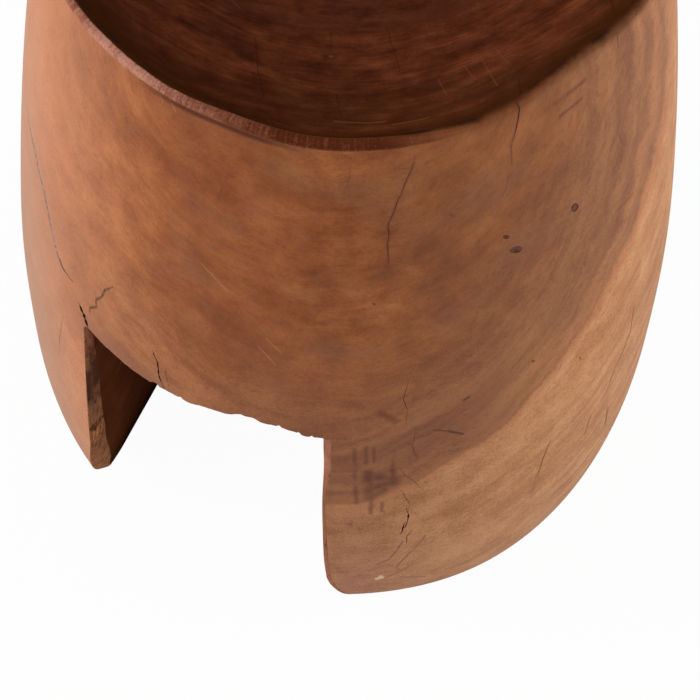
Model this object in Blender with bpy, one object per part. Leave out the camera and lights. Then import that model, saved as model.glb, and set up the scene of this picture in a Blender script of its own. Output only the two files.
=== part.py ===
"""A stool carved from one short log: barrel wall, dished saddle seat and two slab legs.

The grain lies level. A channel sawn through the lower half leaves the legs. Insect holes and
drying cracks in the wall carry separate fills. Front is -Y, up is +Z, the floor is z = 0, and
the origin is under the middle of the stool's outer box.
"""
import math

import bmesh
import bpy
from mathutils import Vector

# Barrel wall, in metres
BELLY_RADIUS = 0.210
BELLY_HEIGHT = 0.121
FOOT_RADIUS = 0.1846
FOOT_ROUNDING = 0.012
RIM_RADIUS = 0.1823
LEAN = 0.0097

# Seat: the rim is low at the front and back, and rises towards the sides
RIM_HEIGHT = 0.364
SIDE_RISE = 0.032
SHOULDER_RISE = 0.008
LIP_WIDTH = 0.009
LIP_RISE = 0.003
DISH_DEPTH = 0.037
DISH_POWER = 2.2

# Channel between the legs; a leg's thickness is measured square to its inner face
CHANNEL_HEIGHT = 0.188
CHANNEL_RISE_LEFT = 0.017
LEFT_WALL_TURN = math.radians(17.4)
LEFT_LEG_THICKNESS_FLOOR = 0.048
LEFT_LEG_THICKNESS_TOP = 0.1147
RIGHT_WALL_TURN = math.radians(22.0)
RIGHT_LEG_THICKNESS_FLOOR = 0.1175
LEFT_ARRIS = 0.010
RIGHT_ARRIS = 0.004

# Fills: each plug's width across the wall and height up it, each crack filler's width and depth
FILL_GAP = 0.0003
PLUG_DEPTH = 0.010
OVAL_PLUG_SIZE = (0.0038, 0.0048)
DOUBLE_PLUG_SIZE = (0.0064, 0.0040)
SMALL_PLUG_SIZE = (0.0044, 0.0026)
CORNER_FILL_SIZE = (0.0014, 0.0070)
SIDE_FILL_SIZE = (0.0010, 0.0080)

# Plug places: degrees round the wall from +X, and drop below the rim
OVAL_PLUG_PLACE = (-52.9, 0.0765)
DOUBLE_PLUG_PLACE = (-64.0, 0.0790)
SMALL_PLUG_PLACE = (-65.8, 0.0683)

# Crack paths from the channel's top left corner: degrees round the wall, and height above it
CORNER_CRACK = (
    (7.2, 0.0466),
    (5.4, 0.0420),
    (4.8, 0.0340),
    (3.3, 0.0300),
    (3.5, 0.0240),
    (1.7, 0.0215),
)
SIDE_CHECK = (
    (-9.6, 0.0480),
    (-8.1, 0.0383),
    (-6.1, 0.0315),
    (-3.1, 0.0286),
)

# Mesh fineness
SIDES = 72
FOOT_STEPS = 4
WALL_STEPS = 12
LIP_STEPS = 5
DISH_STEPS = 7
ARRIS_STEPS = 6
PLUG_SIDES = 20
SLOPE_STEP = 0.001
FLAT_WITHIN = math.radians(0.5)
SMOOTH_BELOW = math.radians(35.0)


def wall_radius(z):
    """Outer radius of the log: one parabola below the belly and one above it."""
    if z < BELLY_HEIGHT:
        share = (BELLY_HEIGHT - z) / BELLY_HEIGHT
        return BELLY_RADIUS - (BELLY_RADIUS - FOOT_RADIUS) * share ** 2
    share = (z - BELLY_HEIGHT) / (RIM_HEIGHT - BELLY_HEIGHT)
    return BELLY_RADIUS - (BELLY_RADIUS - RIM_RADIUS) * share ** 2


def foot_inset(z):
    """How far the rounded foot edge lies inside the wall's own curve."""
    if z >= FOOT_ROUNDING:
        return 0.0
    drop = FOOT_ROUNDING - max(z, 0.0)
    return FOOT_ROUNDING - math.sqrt(FOOT_ROUNDING ** 2 - drop ** 2)


def lean_at(z):
    """Sideways shift of the log's axis, none at the belly."""
    return LEAN * (z - BELLY_HEIGHT) / RIM_HEIGHT


def rim_height(angle):
    """Height of the rim round the seat: low towards -Y and +Y, high towards -X and +X."""
    side = math.cos(angle) ** 2
    shoulder = math.sin(2.0 * angle) ** 2
    return RIM_HEIGHT + SIDE_RISE * side + SHOULDER_RISE * shoulder


def place_on_wall(angle, z):
    """Point on the finished wall."""
    radius = wall_radius(z) - foot_inset(z)
    return Vector((lean_at(z) + radius * math.cos(angle), radius * math.sin(angle), z))


def wall_frame(angle, z):
    """Point on the wall, with its outward, level and upward directions."""
    point = place_on_wall(angle, z)
    across = Vector((-math.sin(angle), math.cos(angle), 0.0))
    up = (place_on_wall(angle, z + SLOPE_STEP) - point).normalized()
    return point, across.cross(up).normalized(), across, up


def ring_angles():
    return [2.0 * math.pi * k / SIDES for k in range(SIDES)]


def levels(top, steps):
    """Heights from the floor: close together round the foot's edge, then even steps to the top."""
    heights = []
    for step in range(FOOT_STEPS):
        heights.append(FOOT_ROUNDING * (1.0 - math.cos(0.5 * math.pi * step / FOOT_STEPS)))
    for step in range(steps + 1):
        heights.append(FOOT_ROUNDING + (top - FOOT_ROUNDING) * step / steps)
    return heights


def foot_and_wall_rings():
    """Rings from the floor up to the edge under the lip."""
    columns = []
    for angle in ring_angles():
        heights = levels(rim_height(angle) - LIP_RISE, WALL_STEPS)
        columns.append([place_on_wall(angle, z) for z in heights])
    return list(zip(*columns))


def seat_point(angle, inward, height):
    """Point a given distance inside the rim's outer edge, at a height above that edge."""
    edge = rim_height(angle) - LIP_RISE
    radius = wall_radius(edge) - inward
    return Vector((lean_at(edge) + radius * math.cos(angle), radius * math.sin(angle), edge + height))


def lip_and_dish_rings():
    """Rings over the half-round lip and down into the dish, and the dish's lowest point."""
    rings = []
    for step in range(1, LIP_STEPS + 1):
        turn = math.pi * step / LIP_STEPS
        inward = 0.5 * LIP_WIDTH * (1.0 - math.cos(turn))
        rise = LIP_RISE * math.sin(turn)
        rings.append([seat_point(angle, inward, rise) for angle in ring_angles()])
    lowest = RIM_HEIGHT - DISH_DEPTH
    centre = Vector((lean_at(lowest), 0.0, lowest))
    for step in range(1, DISH_STEPS):
        share = 1.0 - step / DISH_STEPS
        ring = []
        for angle in ring_angles():
            edge = seat_point(angle, LIP_WIDTH, 0.0)
            point = centre.lerp(edge, share)
            point.z = centre.z + (edge.z - centre.z) * share ** DISH_POWER
            ring.append(point)
        rings.append(ring)
    return rings, centre


def add_loft(bm, rings):
    """Skin a row of closed rings with quads, point to matching point, and return the rings' vertices."""
    loops = [[bm.verts.new(point) for point in ring] for ring in rings]
    for lower, upper in zip(loops, loops[1:]):
        for k in range(len(lower)):
            bm.faces.new((lower[k - 1], lower[k], upper[k], upper[k - 1]))
    return loops


def add_capped_loft(bm, rings):
    """Skin a row of rings and close both ends."""
    loops = add_loft(bm, rings)
    bm.faces.new(loops[0])
    bm.faces.new(loops[-1])


def object_from(bm, name, parent, material=None):
    """Close a bmesh into a named object with its faces pointing out."""
    bmesh.ops.recalc_face_normals(bm, faces=bm.faces)
    mesh = bpy.data.meshes.new(name)
    bm.to_mesh(mesh)
    bm.free()
    obj = bpy.data.objects.new(name, mesh)
    bpy.context.scene.collection.objects.link(obj)
    obj.parent = parent
    if material:
        mesh.materials.append(material)
    return obj


def cut(target, bm, name):
    """Take a cutter's shape out of an object."""
    cutter = object_from(bm, name, target.parent)
    cutter.hide_render = True
    cutter.display_type = "WIRE"
    modifier = target.modifiers.new(name, "BOOLEAN")
    modifier.operation = "DIFFERENCE"
    modifier.solver = "EXACT"
    modifier.object = cutter


def merge_flat_faces(obj):
    """Drop the stray points that cuts leave on straight edges and flat faces."""
    modifier = obj.modifiers.new("flat_faces", "DECIMATE")
    modifier.decimate_type = "DISSOLVE"
    modifier.angle_limit = FLAT_WITHIN


def shade_round(obj):
    """Smooth shading, with hard edges kept."""
    obj.data.shade_smooth()
    obj.data.set_sharp_from_angle(angle=SMOOTH_BELOW)


def finish_material(name, colour, roughness):
    material = bpy.data.materials.new(name)
    material.use_nodes = True
    shader = material.node_tree.nodes["Principled BSDF"]
    shader.inputs["Base Color"].default_value = (*colour, 1.0)
    shader.inputs["Roughness"].default_value = roughness
    shader.inputs["Metallic"].default_value = 0.0
    return material


class ChannelWall:
    """One upright or leaning inner face of a leg."""

    def __init__(self, turn, offset_floor, offset_top, height, arris):
        self.along = Vector((math.sin(turn), math.cos(turn), 0.0))
        self.square = Vector((math.cos(turn), -math.sin(turn), 0.0))
        self.offset_floor = offset_floor
        self.offset_top = offset_top
        self.height = height
        self.arris = arris

    def point(self, distance, z):
        """Point on the face, a distance along it from the place nearest the log's axis."""
        offset = self.offset_floor + (self.offset_top - self.offset_floor) * z / self.height
        place = self.square * offset + self.along * distance
        place.z = z
        return place

    def corner(self, end, z):
        """Where the face comes out of the log, at its front (-1) or back (+1), and the log's axis."""
        level = max(z, 0.0)
        axis = Vector((lean_at(level), 0.0, z))
        radius = wall_radius(level) - foot_inset(level)
        start = self.point(0.0, z)
        middle = (axis - start).dot(self.along)
        short = (start + self.along * middle - axis).length
        reach = middle + end * math.sqrt(radius ** 2 - short ** 2)
        return self.point(reach, z), axis


def left_wall():
    """Inner face of the left leg, which thins towards the floor."""
    height = CHANNEL_HEIGHT + CHANNEL_RISE_LEFT
    offset_floor = LEFT_LEG_THICKNESS_FLOOR - FOOT_RADIUS
    offset_top = LEFT_LEG_THICKNESS_TOP - wall_radius(height)
    return ChannelWall(LEFT_WALL_TURN, offset_floor, offset_top, height, LEFT_ARRIS)


def right_wall():
    """Inner face of the right leg, which is upright."""
    offset = FOOT_RADIUS - RIGHT_LEG_THICKNESS_FLOOR
    return ChannelWall(RIGHT_WALL_TURN, offset, offset, CHANNEL_HEIGHT, RIGHT_ARRIS)


def cut_channel(trunk):
    """Saw the channel from under the floor to its sloping ceiling."""
    bm = bmesh.new()
    reach = 1.5 * max(BELLY_RADIUS, FOOT_RADIUS)
    for wall in (left_wall(), right_wall()):
        for z in (-FOOT_ROUNDING, wall.height):
            for end in (-1.0, 1.0):
                bm.verts.new(wall.point(end * reach, z))
    bmesh.ops.convex_hull(bm, input=bm.verts)
    cut(trunk, bm, "channel_cut")


def cut_arris(trunk, wall, end, turn_out, name):
    """Blunt a leg's upright edge with a three-sided bar; turn_out is the way round out of the channel."""
    bm = bmesh.new()
    rings = []
    for z in [-FOOT_ROUNDING] + levels(wall.height, ARRIS_STEPS):
        corner, axis = wall.corner(end, z)
        round_wall = Vector((0.0, 0.0, turn_out)).cross(corner - axis).normalized()
        inner = corner - wall.along * (end * wall.arris)
        outer = corner + round_wall * wall.arris
        slope = (outer - inner).normalized() * wall.arris
        beyond = corner * 3.0 - (inner + outer)
        rings.append([inner - slope, outer + slope, beyond])
    add_capped_loft(bm, rings)
    cut(trunk, bm, name)


def plug_solid(place, size, gap, proud):
    """Oval bar square to the wall, its inner end one plug depth below the surface."""
    bm = bmesh.new()
    angle = math.radians(place[0])
    point, outward, across, up = wall_frame(angle, rim_height(angle) - place[1])
    ends = []
    for depth in (-PLUG_DEPTH - gap, proud):
        ring = []
        for k in range(PLUG_SIDES):
            turn = 2.0 * math.pi * k / PLUG_SIDES
            side = across * ((0.5 * size[0] + gap) * math.cos(turn))
            rise = up * ((0.5 * size[1] + gap) * math.sin(turn))
            ring.append(point + side + rise + outward * depth)
        ends.append(ring)
    add_capped_loft(bm, ends)
    return bm


def crack_solid(path, size, gap, proud):
    """Strip let into the wall along a crack, half as wide at its root as at the surface."""
    bm = bmesh.new()
    width, depth = size
    wall = left_wall()
    corner, axis = wall.corner(-1.0, wall.height)
    start = math.atan2(corner.y - axis.y, corner.x - axis.x)
    frames = [wall_frame(start + math.radians(turn), wall.height + rise) for turn, rise in path]
    points = [frame[0] for frame in frames]
    rings = []
    for k, (point, outward, across, up) in enumerate(frames):
        run = (points[min(k + 1, len(points) - 1)] - points[max(k - 1, 0)]).normalized()
        side = outward.cross(run).normalized()
        if k == 0:
            point = point - run * gap
        if k == len(points) - 1:
            point = point + run * gap
        top = point + outward * proud
        root = point - outward * (depth + gap)
        half = side * (0.5 * width + gap)
        root_half = side * (0.25 * width + gap)
        rings.append([top - half, top + half, root + root_half, root - root_half])
    add_capped_loft(bm, rings)
    return bm


def make_trunk(parent, material):
    """Loft the log from the floor over the rim into the dish, then saw out the channel."""
    bm = bmesh.new()
    seat_rings, centre = lip_and_dish_rings()
    loops = add_loft(bm, foot_and_wall_rings() + seat_rings)
    bm.faces.new(loops[0])
    dish_floor = bm.faces.new(loops[-1])
    pole = bmesh.ops.poke(bm, faces=[dish_floor])["verts"][0]
    pole.co = centre
    trunk = object_from(bm, "trunk", parent, material)
    cut_channel(trunk)
    for wall, side, turn_front in ((left_wall(), "left", -1.0), (right_wall(), "right", 1.0)):
        cut_arris(trunk, wall, -1.0, turn_front, side + "_front_arris_cut")
        cut_arris(trunk, wall, 1.0, -turn_front, side + "_back_arris_cut")
    shade_round(trunk)
    return trunk


def make_plug(trunk, name, place, size):
    """Plug flush with the wall, in a pocket one gap larger."""
    cut(trunk, plug_solid(place, size, FILL_GAP, PLUG_DEPTH), name + "_pocket_cut")
    material = finish_material(name + "_fill", (0.085, 0.030, 0.020), 0.5)
    shade_round(object_from(plug_solid(place, size, 0.0, 0.0), name, trunk.parent, material))


def make_crack_fill(trunk, name, path, size, colour):
    """Filler flush with the wall, in a groove one gap larger."""
    cut(trunk, crack_solid(path, size, FILL_GAP, size[1]), name + "_groove_cut")
    material = finish_material(name + "_filler", colour, 0.6)
    object_from(crack_solid(path, size, 0.0, 0.0), name, trunk.parent, material)


def centre_on_origin(stool, trunk):
    """Move the whole stool so that the middle of its outer box stands over the origin."""
    bpy.context.view_layer.update()
    shape = trunk.evaluated_get(bpy.context.evaluated_depsgraph_get()).data
    across = [vert.co.x for vert in shape.vertices]
    along = [vert.co.y for vert in shape.vertices]
    stool.location.x = -0.5 * (min(across) + max(across))
    stool.location.y = -0.5 * (min(along) + max(along))


def build():
    for obj in list(bpy.data.objects):
        bpy.data.objects.remove(obj, do_unlink=True)
    stool = bpy.data.objects.new("stool", None)
    bpy.context.scene.collection.objects.link(stool)
    trunk = make_trunk(stool, finish_material("oiled_heartwood", (0.300, 0.105, 0.045), 0.45))
    make_plug(trunk, "oval_hole_plug", OVAL_PLUG_PLACE, OVAL_PLUG_SIZE)
    make_plug(trunk, "double_hole_plug", DOUBLE_PLUG_PLACE, DOUBLE_PLUG_SIZE)
    make_plug(trunk, "small_hole_plug", SMALL_PLUG_PLACE, SMALL_PLUG_SIZE)
    make_crack_fill(trunk, "corner_crack_fill", CORNER_CRACK, CORNER_FILL_SIZE, (0.160, 0.085, 0.050))
    make_crack_fill(trunk, "side_check_fill", SIDE_CHECK, SIDE_FILL_SIZE, (0.260, 0.150, 0.110))
    merge_flat_faces(trunk)
    centre_on_origin(stool, trunk)


build()
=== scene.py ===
"""Looks of the carved stool: a fine trunk surface with channel, chipped edges and cracks, and the fills.

Lengths are in metres, in the frame's own axes: the front is -Y and up is +Z. Angles go round the log
from +X. Every size that the trunk shares with the frame is repeated here, because the frame holds only
finished solids.
"""

import math

import bpy
import numpy as np
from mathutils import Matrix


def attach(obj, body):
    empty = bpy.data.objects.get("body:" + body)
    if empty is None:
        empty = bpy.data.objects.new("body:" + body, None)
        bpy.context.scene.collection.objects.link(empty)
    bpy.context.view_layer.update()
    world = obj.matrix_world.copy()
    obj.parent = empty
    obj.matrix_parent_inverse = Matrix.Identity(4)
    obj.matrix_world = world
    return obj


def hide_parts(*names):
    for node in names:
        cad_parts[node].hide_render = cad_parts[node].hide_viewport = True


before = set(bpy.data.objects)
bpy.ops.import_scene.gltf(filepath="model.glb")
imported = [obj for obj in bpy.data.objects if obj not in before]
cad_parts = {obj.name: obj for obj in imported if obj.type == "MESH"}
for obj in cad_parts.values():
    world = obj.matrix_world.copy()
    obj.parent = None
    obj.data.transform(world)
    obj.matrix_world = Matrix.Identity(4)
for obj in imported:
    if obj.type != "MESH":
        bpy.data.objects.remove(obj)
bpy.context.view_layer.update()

# The log: where its axis stands on the floor plan at belly height, and its barrel wall
AXIS_X = -0.000145
AXIS_Y = 0.001577
BELLY_RADIUS = 0.210
BELLY_HEIGHT = 0.121
FOOT_RADIUS = 0.1846
FOOT_ROUNDING = 0.012
RIM_RADIUS = 0.1823
LEAN = 0.0097
ARC_RADIUS = 0.206

# The seat
RIM_HEIGHT = 0.364
SIDE_RISE = 0.032
SHOULDER_RISE = 0.008
LIP_WIDTH = 0.009
LIP_RISE = 0.003
LIP_WEAR = 0.7
DISH_DEPTH = 0.037
DISH_POWER = 2.2
# The carver's bumps in the rim: size, angle and its spread in degrees
RIM_BUMPS = (
    (0.0046, -154.0, 11.0),
    (0.0024, -110.0, 9.0),
    (0.0015, -99.0, 9.0),
    (0.0022, -88.0, 9.0),
    (0.0018, -77.0, 9.0),
    (0.0009, -66.0, 9.0),
    (0.0040, -52.0, 9.0),
)

# The channel: offsets of its two walls from the axis, and its ceiling from left to right
LEFT_TURN = math.radians(17.4)
LEFT_HEIGHTS = (-0.012, 0.0, 0.020, 0.050, 0.100, 0.150, 0.2075)
LEFT_OFFSETS = (-0.1410, -0.1366, -0.1285, -0.1175, -0.1080, -0.1015, -0.0955)
LEFT_BEVEL_INWARD = (0.009, 0.010, 0.013, 0.016, 0.018, 0.012, 0.004)
LEFT_BEVEL_OUTWARD = (0.0040, 0.0049, 0.0082, 0.0089, 0.0040, 0.0040, 0.0040)
RIGHT_TURN = math.radians(22.0)
RIGHT_HEIGHTS = (-0.012, 0.0, 0.002, 0.004, 0.009, 0.016, 0.028, 0.040, 0.064, 0.100, 0.135, 0.165, 0.188)
RIGHT_OFFSETS = (
    0.0735, 0.0702, 0.0685, 0.0672, 0.0661, 0.0654, 0.0641, 0.0636, 0.0650, 0.0668, 0.0675, 0.0669, 0.0663,
)
RIGHT_ARRIS = (
    0.0080, 0.0080, 0.0080, 0.0080, 0.0080, 0.0078, 0.0070, 0.0060, 0.0056, 0.0036, 0.0030, 0.0075, 0.0085,
)
CEILING_SHARES = (0.0, 0.22, 0.36, 0.49, 0.62, 0.85, 0.91, 0.95, 1.0)
CEILING_HEIGHTS = (0.2075, 0.1985, 0.1955, 0.1928, 0.1932, 0.1908, 0.1876, 0.1852, 0.1845)
FLOOR_CUT = -0.012
# Hand-hewn departures from the barrel: size, angle and its spread in degrees, height and its spread
HEWN = (
    (0.0020, -62.0, 20.0, 0.000, 0.060),
    (0.0016, -38.0, 14.0, 0.055, 0.050),
    (0.0014, -33.0, 9.0, 0.004, 0.030),
    (-0.0012, -148.0, 14.0, -0.004, 0.040),
    (-0.0164, -151.0, 11.7, 0.000, 0.0255),
    (-0.0035, -172.0, 20.0, 0.000, 0.034),
    (0.0014, -14.0, 22.0, 0.200, 0.060),
    (-0.0004, -168.0, 20.0, 0.290, 0.060),
    (0.0012, -165.0, 20.0, 0.190, 0.050),
)
# Chips in the ceiling's front edge: share of the way from left to right, width as a share, and size
CHIPS = ((0.33, 0.016, 0.0022), (0.445, 0.007, 0.0012), (0.72, 0.050, 0.0030), (0.85, 0.008, 0.0010),
         (0.925, 0.007, 0.0016), (0.972, 0.006, 0.0014))
# Mesh fineness
COLUMNS = 360
COLUMN_CROWDING = 0.45
WALL_ROWS = 136
SMALL_STEP = 0.0005

OPAQUE = 1.0
RANDOM = np.random.default_rng(11)


def smooth_noise(waves, *axes):
    """Sum of sine waves: each runs in its own drawn direction over the given axes, and weighs the same."""
    directions = RANDOM.normal(size=(waves, len(axes)))
    phases = RANDOM.uniform(0.0, 2.0 * np.pi, waves)
    total = 0.0
    for direction, phase in zip(directions, phases):
        run = sum(step * axis for step, axis in zip(direction, axes))
        total = total + np.sin(run + phase)
    return total / math.sqrt(waves)


def wall_radius(z):
    """Barrel radius: the belly's, less a parabola down to the foot or up to the rim."""
    below = (BELLY_HEIGHT - z) / BELLY_HEIGHT
    above = (z - BELLY_HEIGHT) / (RIM_HEIGHT - BELLY_HEIGHT)
    to_foot = (BELLY_RADIUS - FOOT_RADIUS) * below ** 2
    to_rim = (BELLY_RADIUS - RIM_RADIUS) * above ** 2
    return BELLY_RADIUS - np.where(z < BELLY_HEIGHT, to_foot, to_rim)


def foot_inset(z):
    """How far a quarter circle at the floor draws the wall in."""
    drop = np.clip(FOOT_ROUNDING - z, 0.0, FOOT_ROUNDING)
    return FOOT_ROUNDING - np.sqrt(FOOT_ROUNDING ** 2 - drop ** 2)


def axis_at(z):
    """Plan position of the leaning axis at a height."""
    return AXIS_X + LEAN * (z - BELLY_HEIGHT) / RIM_HEIGHT, AXIS_Y + 0.0 * z


def angle_bump(theta, middle, width):
    """Bell round one angle in degrees, 1 at its middle."""
    away = (np.degrees(theta) - middle + 180.0) % 360.0 - 180.0
    return np.exp(-(away / width) ** 2)


def rim_height(theta):
    """Rim: a cosine squared rise to the sides, more at the shoulders, and the carver's small bumps."""
    total = RIM_HEIGHT + SIDE_RISE * np.cos(theta) ** 2 + SHOULDER_RISE * np.sin(2.0 * theta) ** 2
    for size, angle, spread in RIM_BUMPS:
        total = total + size * angle_bump(theta, angle, spread)
    return total


def lip_fade(theta):
    """0 where the lip is whole, 1 to the right of the front, where it is worn away."""
    away = (np.degrees(theta) + 30.0 + 180.0) % 360.0 - 180.0
    return np.clip((48.0 - np.abs(away)) / 16.0 + 0.5, 0.0, 1.0)


def at_radius(theta, radius, z):
    """Points at an angle and a distance from the leaning axis."""
    centre_x, centre_y = axis_at(z)
    return np.stack([centre_x + radius * np.cos(theta), centre_y + radius * np.sin(theta), z], axis=-1)


def hewn(theta, z):
    """Small departures of the hand-hewn barrel: bells over angle and height."""
    total = 0.0
    for size, angle, spread, height, reach in HEWN:
        total = total + size * angle_bump(theta, angle, spread) * np.exp(-((z - height) / reach) ** 2)
    return total


def wall_reach(theta, z):
    """Distance of the finished wall from the leaning axis."""
    return wall_radius(z) - foot_inset(z) + hewn(theta, z)


def on_wall(theta, z):
    """Points on the finished wall."""
    z = np.asarray(z, float) + 0.0 * theta
    return at_radius(theta, wall_reach(theta, z), z)


def unit(vectors):
    """Vectors of length 1 in the same directions."""
    return vectors / np.linalg.norm(vectors, axis=-1, keepdims=True)


def wall_frame(theta, z):
    """Points on the wall with the outward, level and upward directions there, from small steps along it."""
    point = on_wall(theta, z)
    across = unit(on_wall(theta + SMALL_STEP, z) - point)
    up = unit(on_wall(theta, z + SMALL_STEP) - point)
    return point, unit(np.cross(across, up)), across, up


def crowded_angles():
    """Angles once round the log, closer together at the front by a sine term."""
    turn = np.linspace(-np.pi, np.pi, COLUMNS, endpoint=False)
    return -0.5 * np.pi + turn - COLUMN_CROWDING * np.sin(turn)


def new_piece(name, points, faces, materials):
    """Mesh object at the origin from points and faces."""
    mesh = bpy.data.meshes.new(name)
    mesh.from_pydata(points.reshape(-1, 3).tolist(), [], faces)
    for material in materials:
        mesh.materials.append(material)
    mesh.validate()
    obj = bpy.data.objects.new(name, mesh)
    bpy.context.scene.collection.objects.link(obj)
    return obj


def ring_quads(rows, columns):
    """Quads between neighbouring closed rows of one grid, as index arrays."""
    row, column = np.meshgrid(np.arange(rows - 1), np.arange(columns), indexing="ij")
    start = row * columns + column
    beside = row * columns + (column + 1) % columns
    return np.stack([start, beside, beside + columns, start + columns], axis=-1).reshape(-1, 4)


def pole_fan(first, columns, pole, upward):
    """Triangles from one closed row to a pole point."""
    here = first + np.arange(columns)
    beside = first + (np.arange(columns) + 1) % columns
    tip = np.full(columns, pole)
    order = (here, beside, tip) if upward else (beside, here, tip)
    return np.stack(order, axis=-1)


def loft(rings):
    """Closed solid over a row of like rings, with each end closed by one face."""
    rows, columns = rings.shape[:2]
    faces = ring_quads(rows, columns).tolist()
    faces.append(list(range(columns))[::-1])
    faces.append(list(range((rows - 1) * columns, rows * columns)))
    return rings.reshape(-1, 3), faces


def log_rows():
    """Rows of the log's skin, each a height share or a step over the foot, wall, lip and dish."""
    theta = crowded_angles()
    edge = rim_height(theta) - LIP_RISE
    rows = []
    zero = 0.0 * theta
    for share in (0.5, 1.0):
        rows.append(at_radius(theta, share * wall_reach(theta, zero), zero))
    for step in np.linspace(0.0, 1.0, 9)[1:]:
        z = FOOT_ROUNDING * (1.0 - math.cos(0.5 * math.pi * step)) + 0.0 * theta
        rows.append(on_wall(theta, z))
    for share in np.linspace(0.0, 1.0, WALL_ROWS)[1:]:
        rows.append(on_wall(theta, FOOT_ROUNDING + (edge - FOOT_ROUNDING) * share))
    edge_radius = wall_radius(edge)
    for turn in np.linspace(0.0, np.pi, 13)[1:]:
        inward = 0.5 * LIP_WIDTH * (1.0 - math.cos(turn))
        ring = at_radius(theta, edge_radius - inward, edge)
        ring[:, 2] += LIP_RISE * (1.0 - LIP_WEAR * lip_fade(theta)) * math.sin(turn) ** 0.7
        rows.append(ring)
    lowest = RIM_HEIGHT - DISH_DEPTH
    centre_x, centre_y = axis_at(lowest)
    inner = rows[-1]
    for share in np.linspace(1.0, 0.0, 46)[1:-1]:
        ring = np.array([centre_x, centre_y, 0.0]) * (1.0 - share) + inner * share
        ring[:, 2] = lowest + (inner[:, 2] - lowest) * share ** DISH_POWER
        rows.append(ring)
    bottom = np.array([AXIS_X, AXIS_Y, 0.0])
    top = np.array([centre_x, centre_y, lowest])
    return np.stack(rows), bottom, top


def log_skin(materials):
    """The whole log before any cut: one grid of rows and columns, closed by a fan at each pole."""
    rows, bottom, top = log_rows()
    count, columns = rows.shape[:2]
    points = np.concatenate([rows.reshape(-1, 3), bottom[None], top[None]])
    quads = ring_quads(count, columns).tolist()
    under = pole_fan(0, columns, count * columns, upward=False).tolist()
    over = pole_fan((count - 1) * columns, columns, count * columns + 1, upward=True).tolist()
    return new_piece("stool_trunk", points, quads + under + over, materials)


def left_offset(z):
    """Offset of the left wall from the axis at a height: it curves under towards the toe."""
    return np.interp(z, LEFT_HEIGHTS, LEFT_OFFSETS)


def right_offset(z):
    """Offset of the right wall from the axis at a height: nearly upright, and rounded off at the floor."""
    return np.interp(z, RIGHT_HEIGHTS, RIGHT_OFFSETS)


def channel_section():
    """Offset, height and turn once round the channel: left wall up, ceiling across, right wall down."""
    left_z = np.linspace(FLOOR_CUT, CEILING_HEIGHTS[0], 60)
    share = np.linspace(0.0, 1.0, 96)[1:-1]
    upright = np.linspace(CEILING_HEIGHTS[-1], 0.016, 44)
    rounding = np.linspace(0.014, 0.0, 10)
    right_z = np.concatenate([upright, rounding, [FLOOR_CUT]])
    left_top = left_offset(CEILING_HEIGHTS[0])
    right_top = right_offset(CEILING_HEIGHTS[-1])
    across = left_top + (right_top - left_top) * share
    offset = np.concatenate([left_offset(left_z), across, right_offset(right_z)])
    height = np.concatenate([left_z, np.interp(share, CEILING_SHARES, CEILING_HEIGHTS), right_z])
    turn = np.concatenate([
        LEFT_TURN + 0.0 * left_z,
        LEFT_TURN + (RIGHT_TURN - LEFT_TURN) * share,
        RIGHT_TURN + 0.0 * right_z,
    ])
    return offset, height, turn


def mouth_distances(offset, height, turn):
    """Where a level line at an offset and turn leaves the log: distances along it to the front and back."""
    level = np.maximum(height, 0.0)
    centre_x, centre_y = axis_at(level)
    radius = wall_radius(level) - foot_inset(level)
    start_x = AXIS_X + offset * np.cos(turn)
    start_y = AXIS_Y - offset * np.sin(turn)
    middle = (centre_x - start_x) * np.sin(turn) + (centre_y - start_y) * np.cos(turn)
    short_x = start_x + middle * np.sin(turn) - centre_x
    short_y = start_y + middle * np.cos(turn) - centre_y
    reach = np.sqrt(radius ** 2 - short_x ** 2 - short_y ** 2)
    return middle - reach, middle + reach


def channel_points(offset, height, turn, distance):
    """Points at a distance along level lines of the channel."""
    x = AXIS_X + offset * np.cos(turn) + distance * np.sin(turn)
    y = AXIS_Y - offset * np.sin(turn) + distance * np.cos(turn)
    return np.stack([x, y, height + 0.0 * distance], axis=-1)


def channel_cutter(material):
    """Loft of the section along the channel, from in front of the log to behind it."""
    offset, height, turn = channel_section()
    front, back = mouth_distances(offset, height, turn)
    rings = []
    for step in (-0.060, -0.010, 0.0, 0.004, 0.010):
        rings.append(channel_points(offset, height, turn, front + step))
    for share in np.linspace(0.0, 1.0, 44)[1:-1]:
        rings.append(channel_points(offset, height, turn, front + 0.010 + (back - front - 0.020) * share))
    for step in (-0.010, -0.004, 0.0, 0.010, 0.060):
        rings.append(channel_points(offset, height, turn, back + step))
    points, faces = loft(np.stack(rings))
    return new_piece("channel_cutter", points, faces, [material])


ROUNDED = np.array([(1.15, -0.06), (0.62, 0.06), (0.25, 0.25), (0.06, 0.62), (-0.06, 1.15)])
FLAT = np.array([(1.12, -0.04), (0.86, 0.10), (0.50, 0.46), (0.10, 0.86), (-0.04, 1.12)])


def edge_cutter(name, corner, inward, outward, inward_size, outward_size, profile, material):
    """Bar along an edge: its section runs from the inner face to the outer face through the given profile.

    Rings whose two directions turn against the run of the bar are reversed, so that its faces point outward.
    """
    inner = (inward * inward_size[:, None])[:, None, :]
    outer = (outward * outward_size[:, None])[:, None, :]
    section = corner[:, None, :] + inner * profile[None, :, :1] + outer * profile[None, :, 1:]
    beyond = corner[:, None, :] - inner - outer
    rings = np.concatenate([section, beyond], axis=1)
    if np.sum(np.cross(inward[0], outward[0]) * (corner[-1] - corner[0])) < 0.0:
        rings = rings[:, ::-1]
    points, faces = loft(rings)
    return new_piece(name, points, faces, [material])


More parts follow.
